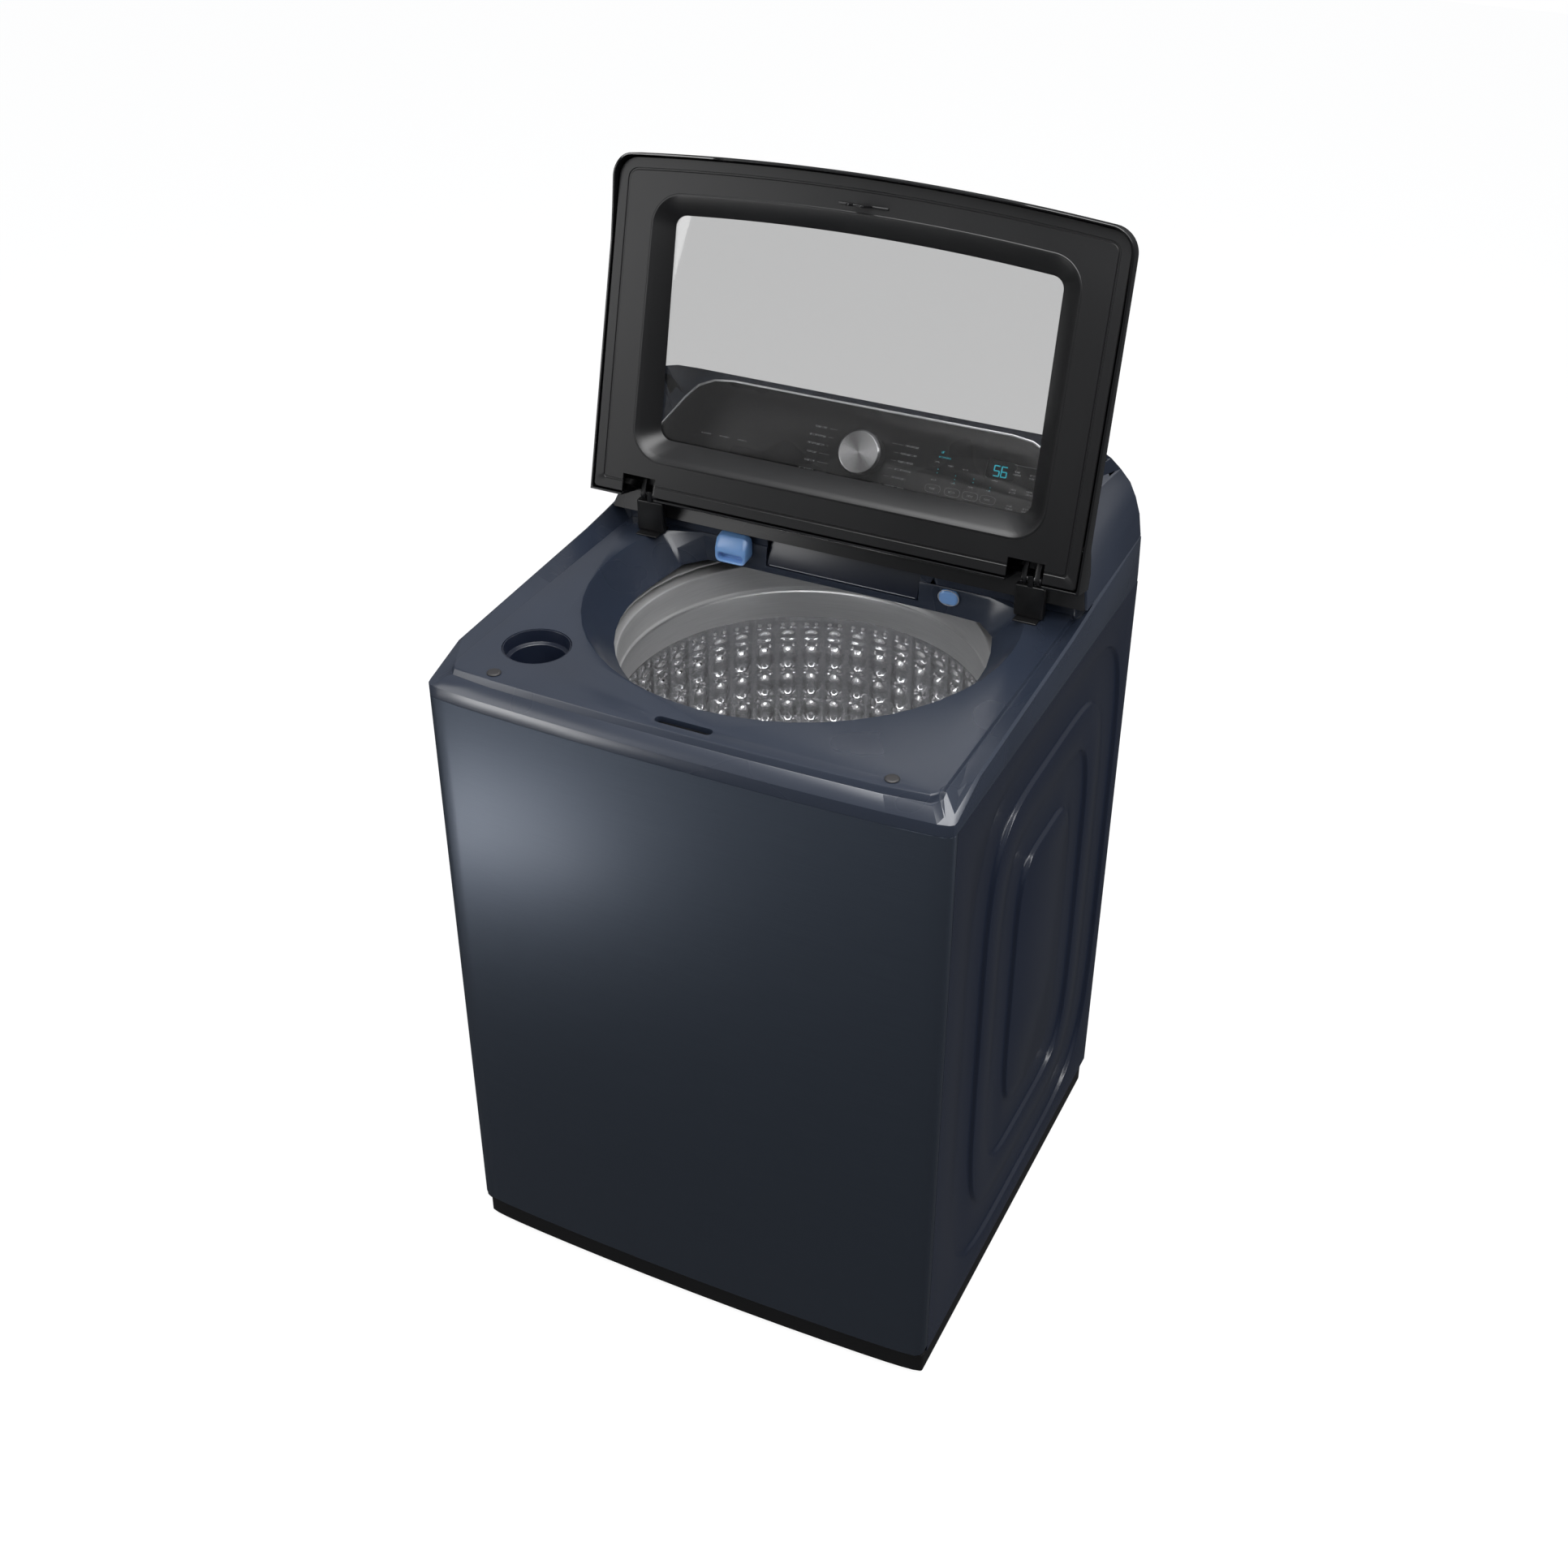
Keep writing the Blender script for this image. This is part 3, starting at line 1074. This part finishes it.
def make_tub(pivot):
    """Outer tub with its bearing boss and four lugs, and the cover ring on its rim."""
    r, t = TUB_R, TUB_WALL
    floor = TUB_FLOOR_Z
    bore = BEARING_R + GAP
    profile = [(r, TUB_TOP_Z), (r - t, TUB_TOP_Z), (r - t, floor + 0.034), (r - 0.014, floor + 0.0085),
               (BOSS_R - 0.007, floor + 0.0065), (BOSS_R - 0.009, BOSS_TOP_Z), (bore, BOSS_TOP_Z),
               (bore, BOSS_LOW_Z), (BOSS_R, BOSS_LOW_Z), (BOSS_R, floor), (r - 0.013, floor + 0.004),
               (r, floor + 0.031)]
    tub = piece("outer_tub", turned(profile, TUB_STEPS), "grey_plastic", pivot)
    arms, holes = [], []
    for name, x, y in rod_places():
        place = Matrix.Rotation(math.atan2(y - TUB_Y, x), 4, "Z")
        reach = math.hypot(x, y - TUB_Y)
        outline = [(r - 0.0015, -0.030), (reach, -0.017), (reach + 0.017, 0.0), (reach, 0.017),
                   (r - 0.0015, 0.030)]
        arms.append(prism(outline, LUG_Z, LUG_Z + LUG_T, place))
        holes.append(prism(circle(LUG_HOLE_R, 12, (x, y - TUB_Y)), LUG_Z - 0.01, LUG_Z + LUG_T + 0.01))
    px, py = PUMP_AT * math.cos(PUMP_ANGLE), PUMP_AT * math.sin(PUMP_ANGLE)
    holes.append(prism(circle(0.011, 12, (px, py)), floor - 0.01, floor + 0.02))
    cut(tub, piece("outer_tub_lugs", joined(arms), "grey_plastic", pivot), "UNION")
    cut(tub, piece("outer_tub_holes", joined(holes), "grey_plastic", pivot))

    low = TUB_TOP_Z + GAP
    top = RING_TOP_Z + 0.011
    mouth = RING_R + 0.0085
    cover = [(r + 0.004, low - 0.010), (r + 0.004, top), (mouth, top), (mouth, top - t), (r - t, top - t),
             (r - t, low), (r + GAP, low), (r + GAP, low - 0.010)]
    piece("tub_cover", turned(cover, TUB_STEPS), "grey_plastic", pivot)

    for name, z in (("upper_bearing", BOSS_TOP_Z - 0.020), ("lower_bearing", BOSS_LOW_Z + 0.003)):
        ring = [(SPIN_SHAFT_R + GAP, z), (BEARING_R, z), (BEARING_R, z + BEARING_H),
                (SPIN_SHAFT_R + GAP, z + BEARING_H)]
        piece(name, turned(ring, 18), "steel", pivot)
    stator = [(BOSS_R + 0.001, BOSS_LOW_Z), (0.060, BOSS_LOW_Z - 0.010), (0.060, 0.128), (0.096, 0.128),
              (0.098, 0.131),
              (0.098, 0.155), (0.096, 0.158), (0.070, 0.158), (0.070, BOSS_LOW_Z + 0.008),
              (BOSS_R + 0.001, BOSS_LOW_Z + 0.012)]
    piece("motor_stator", turned(stator, 24), "copper", pivot)

    top_z = TUB_FLOOR_Z - 0.0005
    place = at(px, py)
    housing = [(0, 0.105), (0.026, 0.105), (0.028, 0.108), (0.028, 0.150), (PUMP_R, 0.150), (PUMP_R, top_z),
               (PUMP_R - 0.0025, top_z), (PUMP_R - 0.0025, 0.1525), (0, 0.1525)]
    piece("drain_pump", turned(housing, 18, place), "white_plastic", pivot)


def make_pump_impeller(pivot):
    hub = turned([(0, 0.1535), (0.007, 0.1535), (0.007, 0.172), (0, 0.172)], 12)
    impeller = piece("pump_impeller", hub, "white_plastic", pivot)
    blades = [prism([(-0.028, -0.0011), (0.028, -0.0011), (0.028, 0.0011), (-0.028, 0.0011)], 0.1545,
                    0.1705,
                    Matrix.Rotation(math.radians(90 * i), 4, "Z")) for i in range(2)]
    cut(impeller, piece("pump_blade_a", blades[0], "white_plastic", pivot), "UNION")
    cut(impeller, piece("pump_blade_b", blades[1], "white_plastic", pivot), "UNION")


def make_drum(pivot):
    """Drum, balance ring and the hollow spin shaft with the flange that carries the drum."""
    r, t = DRUM_R, SHEET
    low, high = DRUM_FLOOR_Z, DRUM_TOP_Z
    profile = [(r, low + 0.030), (r, high - 0.002), (r + 0.008, high - 0.002), (r + 0.008, high),
               (r - t, high),
               (r - t, low + 0.0305), (r - 0.012, low + 0.010), (0.196, low + t),
               (SPIN_SHAFT_R + 0.002, low + t),
               (SPIN_SHAFT_R + 0.002, low), (0.196, low), (r - 0.011, low + 0.0088)]
    piece("drum", turned(profile, TUB_STEPS), "steel", pivot)
    b = RING_R
    top = RING_TOP_Z
    foot = high + GAP
    middle = (foot + top) / 2
    ring = [(b, top - 0.006), (b + 0.0015, middle + 0.003), (b + 0.005, middle),
            (b + 0.0015, middle - 0.004),
            (b + 0.003, foot), (b + 0.029, foot), (b + 0.029, top - 0.008), (b + 0.022, top),
            (b + 0.004, top)]
    piece("balance_ring", turned(ring, TUB_STEPS), "grey_plastic", pivot)
    under = low - GAP
    flange = BOSS_TOP_Z + 0.0075
    shaft = [(SHAFT_R + FIT, 0.120), (SPIN_SHAFT_R, 0.120), (SPIN_SHAFT_R, flange), (0.045, flange),
             (0.120, under - 0.005), (0.120, under), (SHAFT_R + FIT, under)]
    piece("spin_shaft", turned(shaft, 24), "steel", pivot)


def make_drive(pivot):
    """Pulsator on the drive shaft, and the motor's rotor cup at its lower end."""
    low = DRUM_FLOOR_Z + 0.0045
    crown = low + 0.046
    shaft_top = low + 0.014
    bore = SHAFT_R + GAP
    profile = [(bore, low), (0.186, low), (0.190, low + 0.006), (0.186, low + 0.010), (0.110, low + 0.008),
               (0.055, low + 0.020), (0.035, crown), (0, crown), (0, shaft_top + GAP),
               (bore, shaft_top + GAP)]
    pulsator = piece("pulsator", turned(profile, 28), "grey_plastic", pivot)
    vanes = []
    for i in range(3):
        place = Matrix.Rotation(math.radians(120 * i + 30), 4, "Z")
        outline = [(0.030, -0.011), (0.165, -0.004), (0.165, 0.004), (0.030, 0.011)]
        vanes.append(prism(outline, low + 0.004, low + 0.030, place))
    cut(pulsator, piece("pulsator_vanes", joined(vanes), "grey_plastic", pivot), "UNION")
    piece("drive_shaft", turned([(0, 0.104), (SHAFT_R, 0.104), (SHAFT_R, shaft_top), (0, shaft_top)], 16),
          "steel", pivot)
    rotor = [(bore, 0.108), (0.116, 0.108), (0.116, 0.161), (0.112, 0.161), (0.112, 0.112), (0.022, 0.112),
             (0.022, 0.118),
             (bore, 0.118)]
    piece("motor_rotor", turned(rotor, 28), "dark_steel", pivot)


def make_suspension():
    """Frame plate, the rods that hang from it and the springs that carry the tub's lugs."""
    seat = ROD_SEAT_Z
    top = ROD_PLATE_Z + SHEET + GAP
    rod = [(0, seat), (0.016, seat), (0.016, seat + 0.006), (ROD_R, seat + 0.006), (ROD_R, top),
           (0.010, top),
           (0.006, top + 0.010), (0, top + 0.010)]
    low = seat + 0.006 + GAP
    wire = 0.0022
    coil_r = 0.0115
    turns, per_turn, sides = 4, 8, 4
    for name, x, y in rod_places():
        piece(f"suspension_rod_{name}", turned(rod, 12, at(x, y)), "steel")
        rings = []
        height = SPRING_Z - 2 * wire - 0.001
        for i in range(turns * per_turn + 1):
            a = 2 * math.pi * i / per_turn
            z = low + wire + height * i / (turns * per_turn)
            ring = []
            for k in range(sides):
                b = 2 * math.pi * (k + 0.5) / sides
                radius = coil_r + wire * math.cos(b)
                ring.append((x + radius * math.cos(a), y + radius * math.sin(a), z + wire * math.sin(b)))
            rings.append(ring)
        piece(f"suspension_spring_{name}", loft(rings), "dark_steel")
    inset = SHEET + GAP
    angles = [2 * math.pi * (i + 0.5) / 32 for i in range(32)]
    angles += [math.atan2(y - TUB_Y, x) % (2 * math.pi) for x in (-HALF + 0.004, HALF - 0.004)
               for y in (FRONT_Y + 0.004, REAR_Y - 0.004)]
    angles.sort()
    plan = along_rays(cabinet_outline(inset, inset, inset + 0.001), COVER_CENTRE, angles)
    mouth = along_rays(circle(FRAME_MOUTH_R, 64, COVER_CENTRE), COVER_CENTRE, angles)
    high = ROD_PLATE_Z + SHEET
    rings = [[(px, py, pz) for px, py in outline]
             for outline, pz in ((plan, ROD_PLATE_Z), (plan, high), (mouth, high), (mouth, ROD_PLATE_Z))]
    frame = piece("suspension_frame", loft(rings, closed=True), "dark_steel")
    holes = [prism(circle(ROD_R + 0.001, 12, (x, y)), ROD_PLATE_Z - 0.01, high + 0.01) for name, x,
             y in rod_places()]
    cut(frame, piece("suspension_frame_holes", joined(holes), "dark_steel"))


def make_rear_fittings():
    """Two water inlet valves, the drain outlet and the cord's grommet, through the rear panel."""
    inside = REAR_Y - SHEET - GAP
    for name, x in zip(("inlet_valve_hot", "inlet_valve_cold"), VALVE_X):
        r = VALVE_STUB_R
        reach = REACH_Y - REAR_Y
        profile = [(0, -0.045), (0.016, -0.045), (0.016, -0.020), (0.019, -0.018), (0.019, inside - REAR_Y),
                   (r, inside - REAR_Y),
                   (r, reach), (r - 0.003, reach), (r - 0.003, -0.010), (0, -0.010)]
        piece(name, turned(profile, 16, along_y(x, REAR_Y, VALVE_Z)), "white_plastic")
    r = DRAIN_R
    profile = [(r, -0.040), (r, inside - REAR_Y - 0.004), (r + 0.005, inside - REAR_Y - 0.004),
               (r + 0.005, inside - REAR_Y),
               (r, inside - REAR_Y), (r, 0.009), (r - 0.0025, 0.009), (r - 0.0025, -0.040)]
    piece("drain_outlet", turned(profile, 16, along_y(DRAIN_X, REAR_Y, DRAIN_Z)), "grey_plastic")
    r = CORD_R
    profile = [(r, inside - REAR_Y), (r + 0.003, inside - REAR_Y), (r + 0.003, inside - REAR_Y - 0.002),
               (0.0055, inside - REAR_Y - 0.002),
               (0.0055, 0.004), (r + 0.002, 0.004), (r + 0.003, GAP), (r, GAP)]
    piece("cord_grommet", turned(profile, 16, along_y(CORD_X, REAR_Y, CORD_Z)), "black_rubber")


def build():
    for old in list(bpy.data.objects):
        bpy.data.objects.remove(old, do_unlink=True)
    make_front_panel()
    make_side_panel("left_side_panel", -1)
    make_side_panel("right_side_panel", 1)
    make_rear_panel()
    make_rear_fittings()
    make_base_frame()
    make_feet()
    make_suspension()
    cut_top_cover(make_top_cover())
    make_bleach_cup()
    make_lid_lock()
    make_lid_bumpers()
    make_dispenser()
    make_spout_and_button()
    make_hinge_posts()
    make_lid(pivot_at("lid_hinge_axis", (0, LID_HINGE_Y, LID_HINGE_Z), -LID_TURN))
    make_console()
    make_tub(pivot_at("tub_axis", AXIS))
    make_drum(pivot_at("drum_axis", AXIS))
    make_drive(pivot_at("drive_axis", AXIS))
    make_pump_impeller(pivot_at("pump_axis",
                                (PUMP_AT * math.cos(PUMP_ANGLE), TUB_Y + PUMP_AT * math.sin(PUMP_ANGLE),
                                 0)))


build()
